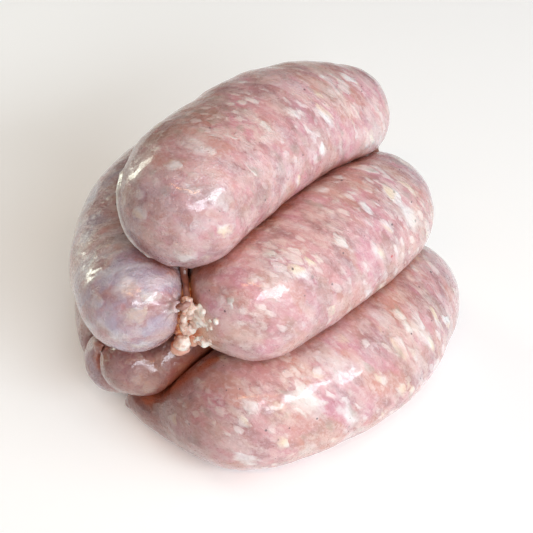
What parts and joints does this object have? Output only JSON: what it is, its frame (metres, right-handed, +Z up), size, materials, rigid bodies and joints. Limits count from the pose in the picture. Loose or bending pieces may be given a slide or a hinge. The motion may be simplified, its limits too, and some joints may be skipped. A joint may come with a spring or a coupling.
{
  "type": "string of raw sausage links",
  "caption": "Heap of thick raw coarse-ground pork sausage links, joined end to end by twists of casing, one end burst open with filling showing.",
  "frame": {"origin": "bottom centre of the bounding box, on the surface the heap rests on", "axes": "+Z up, -Y toward the side where the two rounded ends stand out, +X to the right seen from there"},
  "size_m": [0.1032, 0.0988, 0.0873],
  "materials": {
    "meat": "moist, semi-gloss, raw meat under a thin clear casing",
    "casing": "moist, semi-gloss, empty casing"
  },
  "bodies": {
    "root": {"link_1": "meat", "link_2": "meat", "link_3": "meat", "link_4": "meat", "link_5": "meat", "link_6": "meat", "twist_1_2": "casing", "twist_2_3": "casing", "twist_3_4": "casing", "twist_4_5": "casing", "twist_5_6": "casing"}
  },
  "joints": []
}
